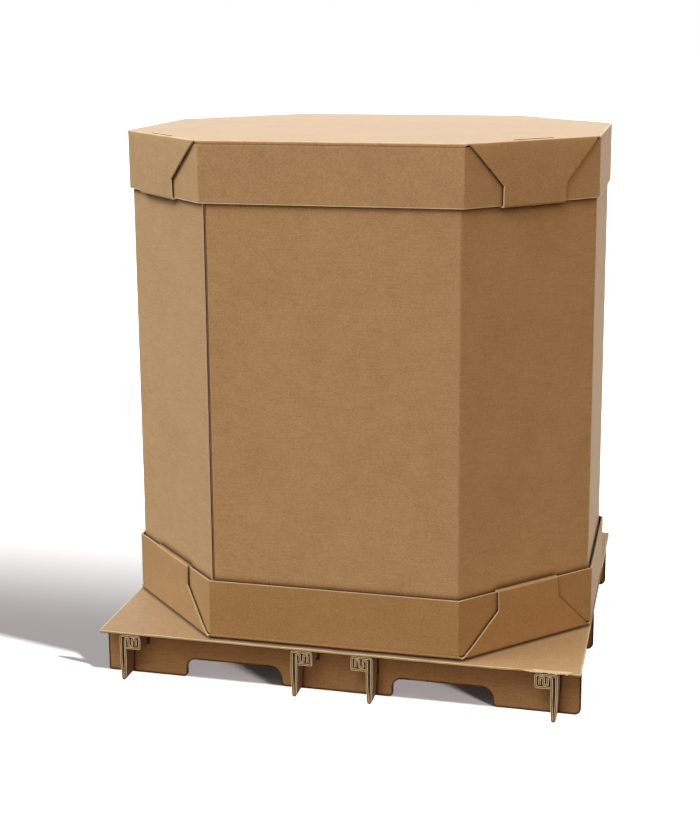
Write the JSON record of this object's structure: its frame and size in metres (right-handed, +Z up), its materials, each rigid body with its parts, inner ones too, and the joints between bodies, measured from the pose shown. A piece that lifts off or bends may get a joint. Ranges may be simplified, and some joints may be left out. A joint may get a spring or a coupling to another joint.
{
  "type": "bulk pallet box",
  "caption": "Eight-sided corrugated bulk box with a lift-off lid and a matching tray, standing on a corrugated fork pallet.",
  "frame": {"origin": "on the floor, under the middle of the pallet's footprint", "axes": "+Z up, +X to the right along the pallet's long side, and the front, with the fork openings and the runner ends, faces -Y"},
  "size_m": [1.2, 1, 1.3579],
  "materials": {
    "cap_board": "matte kraft liner, single-wall board",
    "sleeve_board": "matte kraft liner, double-wall board",
    "pallet_board": "matte kraft liner, folded and slotted board"
  },
  "bodies": {
    "root": {"lid": "cap_board", "sleeve": "sleeve_board", "tray": "cap_board", "deck_sheet": "pallet_board", "runner_left_outer": "pallet_board", "runner_left_inner": "pallet_board", "runner_right_inner": "pallet_board", "runner_right_outer": "pallet_board", "cross_board_front": "pallet_board", "cross_board_middle": "pallet_board", "cross_board_back": "pallet_board"}
  },
  "joints": []
}
